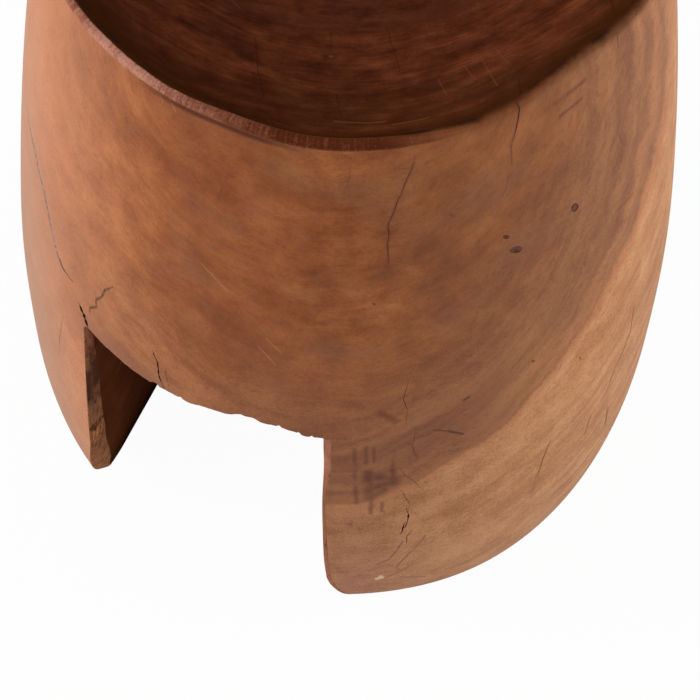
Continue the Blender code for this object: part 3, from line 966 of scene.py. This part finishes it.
def seat_colour(wood, noises, inward, start):
    """Deep red-brown seat in soft arcs, darker and olive by the rim and to the front, partly as painted shade
    where the dish slopes, with cracks, scratches, gold lines and a knot.
    """
    x, y = wood.x, wood.y
    length = {"operation": "LENGTH"}
    arcs = wood.add("ShaderNodeVectorMath", length, {0: wood.vector(x, y - 0.25, 0.0)}, output="Value")
    arcs = arcs + (noises["warp"] - 0.5) * 0.6
    noises["seat_streak"] = wood.noise(wood.vector(arcs * 62.0, x * 9.0, 0.0), 1.0, 4.0, 0.58)
    noises["seat_line"] = wood.noise(wood.vector(arcs * 300.0, x * 34.0, 0.0), 1.0, 3.0, 0.6)
    noises["seat_cloud"] = wood.noise(wood.place, 58.0, 5.0, 0.66)
    tone = weighed(noises, 0.51, seat_streak=0.42, mottle=0.45, seat_cloud=0.74, seat_line=0.32, grit=0.30)
    colour = wood.ramp(tone + x.least(0.07) * 0.8, (
        (0.22, (0.036, 0.0082, 0.0030)),
        (0.42, (0.083, 0.0196, 0.0078)),
        (0.58, (0.136, 0.0338, 0.0130)),
        (0.80, (0.228, 0.0650, 0.0240)),
    ))
    dusk = arcs.rise(0.246, 0.258) * arcs.rise(0.278, 0.264) * noises["seat_cloud"].rise(0.34, 0.56)
    dusk = dusk.most(wood.noise(wood.place, 26.0, 4.0, 0.6).rise(0.50, 0.66))
    colour = wood.blend(dusk * 0.34, colour, (0.046, 0.0130, 0.0088))
    # Darker olive ring by the rim and darker front: partly the seat's own colour, partly painted shade where
    # the dish's side slopes away from the lamps
    rim_olive_and_shade = (inward.rise(0.0420, 0.0080) * 0.85).most(y.rise(-0.078, -0.112) * 0.36)
    colour = wood.blend(rim_olive_and_shade, colour, (0.039, 0.0112, 0.0026))
    crust = (inward - start).rise(0.0, 0.0012) * (inward - start).rise(0.0075, 0.0020)
    colour = wood.blend(crust * noises["blotch"].rise(0.42, 0.58) * 0.65, colour, (0.024, 0.0078, 0.0046))
    wavy_x = x + (noises["mottle"] - 0.5) * 0.010
    strokes = (
        (SEAT_CRACKS, wavy_x, 0.42, (0.030, 0.0080, 0.0040)),
        (SEAT_SCRATCHES, x, 0.24, (0.300, 0.1000, 0.0400)),
        (SEAT_GOLD, x, 0.45, (0.215, 0.0920, 0.0290)),
        (SEAT_KNOT, x, 0.75, (0.026, 0.0080, 0.0040)),
        (KNOT_HEART, x, 0.60, (0.220, 0.0900, 0.0300)),
    )
    for marks, across, strength, paint in strokes:
        colour = wood.blend(all_strokes(across, y, on_plan, marks, 0.0) * strength, colour, paint)
    return colour


def wood_wall():
    """Oiled heartwood, softly mottled, with a paler sapwood edge and the dark worn seat with its lip. The
    lip's pale left half is partly a painted highlight, and below the lip lie a painted shadow and a dark line
    of painted shade.
    """
    wood = Finish("oiled_log", 0.0, 0.55)
    middle = AXIS_X + (wood.z - BELLY_HEIGHT) * (LEAN / RIM_HEIGHT)
    turn = wood.x.math("ARCTAN2", wood.y - AXIS_Y, wood.x - middle)
    arc = turn * ARC_RADIUS
    noises = grain_noises(wood)
    colour = marked(wood, noises, arc, wall_colour(wood, noises))

    inward = wood.attribute("inward")
    worn = wood.attribute("worn")
    start = 0.0022 + wood.x.rise(-0.152, -0.112) * 0.0014 + wood.x.rise(-0.090, -0.025) * 0.0026
    start = start - worn * 0.0048
    start = weighed(noises, start, blotch=0.0024, grit=0.0010)
    noises["ticks"] = wood.noise(wood.vector(arc * 420.0, wood.z * 90.0, 0.0), 1.0, 3.0, 0.65)
    # Painted highlight: the lip's pale pink on its left half is partly pale worn wood and partly the left
    # lamp's gloss painted in, while the coat is mostly taken off the lip
    lip_colour_and_highlight = wood.ramp(weighed(noises, wood.attribute("pale"), ticks=1.2, grit=1.0, blotch=0.8), (
        (0.00, (0.086, 0.0180, 0.0055)),
        (0.30, (0.170, 0.0520, 0.0240)),
        (0.60, (0.270, 0.0930, 0.0560)),
        (0.95, (0.490, 0.224, 0.1540)),
    ))
    lip = inward.rise(-0.0005, 0.0002) * (inward - start).rise(0.0006, -0.0003) * (1.0 - worn)
    under = wood.attribute("under")
    # Painted shadow: a soft darker band on the wall just below the lip, at its front left
    colour = wood.blend(inward.rise(-0.0130, -0.0015) * under * 0.30, colour, (0.200, 0.066, 0.028))
    colour = wood.blend(lip, colour, lip_colour_and_highlight)
    # Painted shade: a dark line just under the lip's outer edge, for the shade of a small overhang that the
    # mesh does not have
    line = inward.rise(-0.0036, -0.0016) * inward.rise(0.0002, -0.0008) * under
    colour = wood.blend(line * 0.85, colour, (0.075, 0.017, 0.006))
    seat = weighed(noises, (inward - start) / (worn * 0.006 + 0.0008), blotch=1.4, grit=0.8).rise(-0.8, 0.8)
    colour = wood.blend(seat, colour, seat_colour(wood, noises, inward, start))
    wood.feed("Base Color", colour)
    wood.feed("Roughness", 0.56 + (noises["short"] - 0.5) * 0.2 - seat * 0.08)
    wood.feed("Coat Weight", (1.0 - seat) * (1.0 - lip * 0.75) * 0.34)
    wood.shader.inputs["Coat Roughness"].default_value = 0.42
    wood.bump(noises["short"] * 0.4 + noises["pores"] * 0.3 + noises["grit"] * 0.3, 0.12, 0.0004)
    return wood.material


def sawn_wood():
    """Inside of the channel: dry cut wood, brown at its mouths, with painted shade making it almost black low
    down and deep in.
    """
    wood = Finish("channel_face", 0.0, 0.85)
    slant = wood.z - wood.y * 0.3
    grain = wood.noise(wood.vector(slant * 230.0, wood.x * 40.0, wood.y * 18.0), 1.0, 4.0, 0.6)
    cloud = wood.noise(wood.place, 22.0, 3.0, 0.5)
    tone = 0.5 + (grain - 0.5) * 0.55 + (cloud - 0.5) * 0.6
    colour = wood.ramp(tone, (
        (0.25, (0.100, 0.0280, 0.0105)),
        (0.50, (0.172, 0.0510, 0.0185)),
        (0.75, (0.255, 0.0840, 0.0310)),
    ))
    # Painted shade: darker deep in the channel and almost black low down by the floor
    deep = abs(wood.y).rise(0.125, 0.030)
    low = wood.z.rise(0.085, 0.004)
    colour = wood.blend(deep * 0.40, colour, (0.040, 0.0110, 0.0038))
    wood.feed("Base Color", wood.blend(low * 0.62, colour, (0.018, 0.0050, 0.0018)))
    wood.bump(grain, 0.25, 0.0008)
    return wood.material


def worn_edge():
    """The left leg's bevels: reddish at the top, stained dark below it, then greyed brown to the toe."""
    wood = Finish("weathered_bevel", 0.0, 0.75)
    z = wood.z
    long_grain = wood.noise(wood.vector(wood.x * 330.0, wood.y * 330.0, z * 40.0), 1.0, 4.0, 0.62)
    patch = wood.noise(wood.vector(wood.x * 120.0, wood.y * 120.0, z * 70.0), 1.0, 4.0, 0.65)
    tone = 0.5 + (long_grain - 0.5) * 1.0 + (patch - 0.5) * 0.8
    grey = wood.ramp(tone, (
        (0.25, (0.230, 0.090, 0.044)),
        (0.50, (0.450, 0.190, 0.092)),
        (0.78, (0.600, 0.275, 0.150)),
    ))
    red = wood.ramp(tone, (
        (0.3, (0.150, 0.046, 0.026)),
        (0.5, (0.285, 0.096, 0.052)),
        (0.7, (0.440, 0.168, 0.092)),
    ))
    height = z + (patch - 0.5) * 0.03
    colour = wood.blend(height.rise(0.178, 0.190), grey, red)
    stain = height.rise(0.132, 0.150) * height.rise(0.192, 0.178) * patch.rise(0.36, 0.52)
    colour = wood.blend(stain * 0.85, colour, (0.085, 0.031, 0.023))
    colour = wood.blend(patch.rise(0.57, 0.66) * 0.75, colour, (0.085, 0.030, 0.018))
    colour = wood.blend(z.rise(0.045, 0.004) * 0.30, colour, (0.180, 0.076, 0.040))
    chip = z.rise(0.086, 0.091) * z.rise(0.113, 0.109) * long_grain.rise(0.50, 0.57)
    colour = wood.blend(chip * 0.90, colour, (0.800, 0.320, 0.115))
    split = height.rise(0.1115, 0.1130) * height.rise(0.1165, 0.1150) * long_grain.rise(0.40, 0.50)
    colour = wood.blend(split * 0.75, colour, (0.060, 0.020, 0.012))
    wood.feed("Base Color", colour)
    wood.bump(long_grain, 0.40, 0.0010)
    return wood.material


def rubbed_edge():
    """The right leg's rounded edges and the ceiling's edge: rubbed paler, with dark flecks."""
    wood = Finish("rubbed_edge", 0.0, 0.65)
    patch = wood.noise(wood.vector(wood.x * 200.0, wood.y * 200.0, wood.z * 60.0), 1.0, 4.0, 0.6)
    flecks = wood.noise(wood.place, 260.0, 3.0, 0.6)
    colour = wood.ramp(patch, (
        (0.30, (0.270, 0.098, 0.053)),
        (0.48, (0.400, 0.160, 0.092)),
        (0.75, (0.520, 0.240, 0.155)),
    ))
    half_way = wood.z.rise(0.045, 0.085) * wood.z.rise(0.175, 0.140)
    colour = wood.blend(half_way * 0.45, colour, (0.190, 0.066, 0.040))
    colour = wood.blend(flecks.rise(0.57, 0.68) * 0.6, colour, (0.130, 0.048, 0.030))
    wood.feed("Base Color", colour)
    wood.bump(patch, 0.25, 0.0006)
    return wood.material


def crack_lining(name, dark, light):
    """Torn fibres inside a crack, between a dark and a lighter brown."""
    wood = Finish(name, 0.0, 0.85)
    torn = wood.noise(wood.place, 500.0, 3.0, 0.6)
    wood.feed("Base Color", wood.ramp(torn, ((0.3, dark), (0.7, light))))
    return wood.material


def hole_filler():
    """Dark resin and dust in the holes, greyer in the middle of a patch."""
    resin = Finish("hole_filler", 0.03, 0.7)
    patch = resin.noise(resin.place, 300.0, 3.0, 0.5)
    colour = resin.ramp(patch, ((0.35, (0.098, 0.033, 0.024)), (0.65, (0.190, 0.078, 0.056))))
    resin.feed("Base Color", colour)
    resin.bump(patch, 0.2, 0.0003)
    return resin.material


def crack_paste(name, dark, light, below=None):
    """Paste in a long crack: dark crumbs in a paler body, and dark below a height if one is given."""
    paste = Finish(name, 0.03, 0.75)
    crumbs = paste.noise(paste.place, 420.0, 3.0, 0.6)
    colour = paste.ramp(crumbs, ((0.35, dark), (0.62, light)))
    if below is not None:
        colour = paste.blend(paste.z.rise(below + 0.008, below) * 0.8, colour, (0.060, 0.045, 0.050))
    paste.feed("Base Color", colour)
    paste.bump(crumbs, 0.3, 0.0003)
    return paste.material


def white_floor():
    """Pale floor: white to the camera and to reflections, with part of the stool's shadow kept."""
    floor = Finish("floor", 0.0, 0.9)
    floor.shader.inputs["Base Color"].default_value = (0.80, 0.80, 0.80, 1.0)
    seen = 0.0
    for ray in ("Is Camera Ray", "Is Glossy Ray", "Is Transmission Ray"):
        seen = floor.add("ShaderNodeLightPath", output=ray) + seen
    glow = floor.add("ShaderNodeEmission", inputs={"Color": (1.0, 1.0, 1.0), "Strength": 1.0})
    shader = Value(floor, floor.shader.outputs[0])
    mixed = floor.add("ShaderNodeMixShader", inputs={0: seen.least(1.0) * FLOOR_WHITE, 1: shader, 2: glow})
    output = floor.tree.nodes["Material Output"]
    floor.tree.links.new(mixed.socket, output.inputs["Surface"])
    return floor.material


def paint_masks(piece):
    """Point attributes of the trunk, from each point's angle, height and distance to the leaning axis.

    Inward is the distance in from the rim's outer edge on the seat, and minus the depth below that edge
    on the wall.
    """
    count = len(piece.data.vertices)
    flat = np.empty(3 * count, np.float32)
    piece.data.vertices.foreach_get("co", flat)
    points = flat.reshape(-1, 3).astype(float)
    centre_x, centre_y = axis_at(points[:, 2])
    theta = np.arctan2(points[:, 1] - centre_y, points[:, 0] - centre_x)
    radius = np.hypot(points[:, 0] - centre_x, points[:, 1] - centre_y)
    edge = rim_height(theta) - LIP_RISE
    inward = wall_radius(edge) - radius
    lowest = RIM_HEIGHT - DISH_DEPTH
    share = np.clip(radius / (wall_radius(edge) - LIP_WIDTH), 0.0, 1.0)
    dish = lowest + (edge - lowest) * share ** DISH_POWER
    above = points[:, 2] > np.where(inward < LIP_WIDTH, edge - 0.012, dish - 0.004)
    inside = above & ((points[:, 2] >= edge - 0.00001) | (inward > 0.001))
    degrees = np.degrees(theta)
    ceiling = np.interp(degrees, (-136.0, -126.0, -116.0), (0.2085, 0.1980, 0.1945))
    below = np.clip((points[:, 2] - ceiling) / 0.014, -1.0, 1.0)
    beside = np.clip((degrees + 139.0) / 3.0, 0.0, 1.0) * np.clip((-116.0 - degrees) / 6.0, 0.0, 1.0)
    # Pale: how pale the lip is round the log; on its left half this is partly a painted highlight
    pale = np.clip((-102.0 - degrees) / 25.0, 0.0, 0.85) - 0.30 * np.clip((-136.0 - degrees) / 8.0, 0.0, 1.0)
    masks = {
        "inward": np.where(inside, np.maximum(inward, 0.0), points[:, 2] - edge),
        "worn": lip_fade(theta),
        "pale": pale + np.clip((degrees - 60.0) / 80.0, 0.0, 0.6),
        # Under: where the painted shadow and the dark line of painted shade go below the lip
        "under": np.clip((degrees + 127.0) / 8.0, 0.0, 1.0) * np.clip((-95.0 - degrees) / 9.0, 0.0, 1.0),
        "edge_grey": (1.0 - np.abs(below)) * beside * (points[:, 1] < 0.0),
    }
    for name, values in masks.items():
        layer = piece.data.attributes.new(name, "FLOAT", "POINT")
        layer.data.foreach_set("value", values.astype(np.float32))


def place_camera():
    """Camera at the photograph's viewing angle: halfway between level and straight down."""
    data = bpy.data.cameras.new("camera")
    data.sensor_width = CAMERA_SENSOR
    data.lens = CAMERA_LENS
    data.shift_x = CAMERA_SHIFT
    camera = bpy.data.objects.new("camera", data)
    camera.location = CAMERA_PLACE
    camera.rotation_euler = (CAMERA_TILT, 0.0, 0.0)
    bpy.context.scene.collection.objects.link(camera)
    bpy.context.scene.camera = camera


def area_light(name, place, aim, size, power):
    """Square soft light aimed at a point."""
    data = bpy.data.lights.new(name, "AREA")
    data.shape = "RECTANGLE"
    data.size, data.size_y = size
    data.energy = power
    light = bpy.data.objects.new(name, data)
    light.location = place
    direction = np.array(aim) - np.array(place)
    light.rotation_euler = (
        math.acos(-direction[2] / np.linalg.norm(direction)),
        0.0,
        math.atan2(direction[0], -direction[1]) + math.pi,
    )
    bpy.context.scene.collection.objects.link(light)


wall = wood_wall()
sawn = sawn_wood()
bevel = worn_edge()
rubbed = rubbed_edge()
lining = crack_lining("crack_lining", (0.040, 0.014, 0.008), (0.130, 0.050, 0.024))
hairline = crack_lining("hairline_lining", (0.100, 0.034, 0.018), (0.200, 0.075, 0.036))
filler = hole_filler()
grey_paste = crack_paste("grey_paste", (0.170, 0.110, 0.092), (0.330, 0.230, 0.190), below=0.236)
brown_paste = crack_paste("brown_paste", (0.085, 0.038, 0.018), (0.215, 0.112, 0.055))

trunk = log_skin([wall, sawn, bevel, rubbed, lining, hairline])
cut(trunk, channel_cutter(sawn))
cut(trunk, upright_edge("left_front", -1, True, bevel))
cut(trunk, upright_edge("left_back", 1, True, bevel))
cut(trunk, upright_edge("right_front", -1, False, rubbed))
cut(trunk, upright_edge("right_back", 1, False, rubbed))
cut(trunk, ceiling_edge("ceiling_front", -1, rubbed))
cut(trunk, ceiling_edge("ceiling_back", 1, rubbed))
for path, width, depth in CRACKS:
    cut(trunk, lofted_piece("crack", crack_wedge(path, width, depth), lining))
for path, width, depth in HAIRLINES:
    cut(trunk, lofted_piece("hairline", crack_wedge(path, width, depth), hairline))
corner_groove = fill_strip(CORNER_FILL, *CORNER_FILL_SIZE, GROOVE_PROUD, 0.0)
cut(trunk, lofted_piece("corner_groove", corner_groove, lining))
side_groove = fill_strip(SIDE_FILL, *SIDE_FILL_SIZE, GROOVE_PROUD, 0.0)
cut(trunk, lofted_piece("side_groove", side_groove, lining))
for name, (angle, height, wide, high, tilt) in PLUGS.items():
    levels = (-HOLE_PROUD, PLUG_DEPTH + PLUG_CLEARANCE)
    rings = plug_rings(angle, height, wide, high, tilt, levels, (1.0, 1.0))
    cut(trunk, lofted_piece("hole", loft(rings[:, ::-1]), lining))
paint_masks(trunk)
trunk.data.shade_smooth()
trunk.data.set_sharp_from_angle(angle=TRUNK_SHARP)
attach(trunk, "root")
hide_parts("trunk")

for name, (angle, height, wide, high, tilt) in PLUGS.items():
    levels = (PLUG_DEPTH, 0.0008, 0.0002, 0.00005)
    widths = (0.985, 0.985, 0.96, 0.85)
    rings = plug_rings(angle, height, wide, high, tilt, levels, widths)
    plug = lofted_piece("filled_" + name, loft(rings), filler)
    plug.data.shade_smooth()
    plug.data.set_sharp_from_angle(angle=PLUG_SHARP)
    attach(plug, "root")
    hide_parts(name)

for name, path, size, paste in (
    ("corner_crack_fill", CORNER_FILL, CORNER_FILL_SIZE, brown_paste),
    ("side_check_fill", SIDE_FILL, SIDE_FILL_SIZE, grey_paste),
):
    strip = lofted_piece("pasted_" + name, fill_strip(path, *size, PASTE_PROUD, PASTE_SHRINK), paste)
    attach(strip, "root")
    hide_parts(name)

floor_plan = FLOOR_REACH * np.array([(-1.0, -1.0), (1.0, -1.0), (1.0, 1.0), (-1.0, 1.0)])
floor_corners = np.column_stack([floor_plan, np.full(4, FLOOR_LEVEL)])
floor = new_piece("floor", floor_corners, [[0, 1, 2, 3]], [white_floor()])

place_camera()
area_light("left_light", (-1.5, -0.35, 1.0), LIGHT_AIM, (1.2, 1.2), 26.0)
area_light("right_light", (1.5, -0.30, 0.9), LIGHT_AIM, (1.0, 1.0), 15.0)

world = bpy.data.worlds.new("studio")
bpy.context.scene.world = world
world.use_nodes = True
world.node_tree.nodes["Background"].inputs["Color"].default_value = (1.0, 1.0, 1.0, 1.0)
world.node_tree.nodes["Background"].inputs["Strength"].default_value = ROUND_LIGHT
bpy.context.scene.view_settings.view_transform = "Standard"
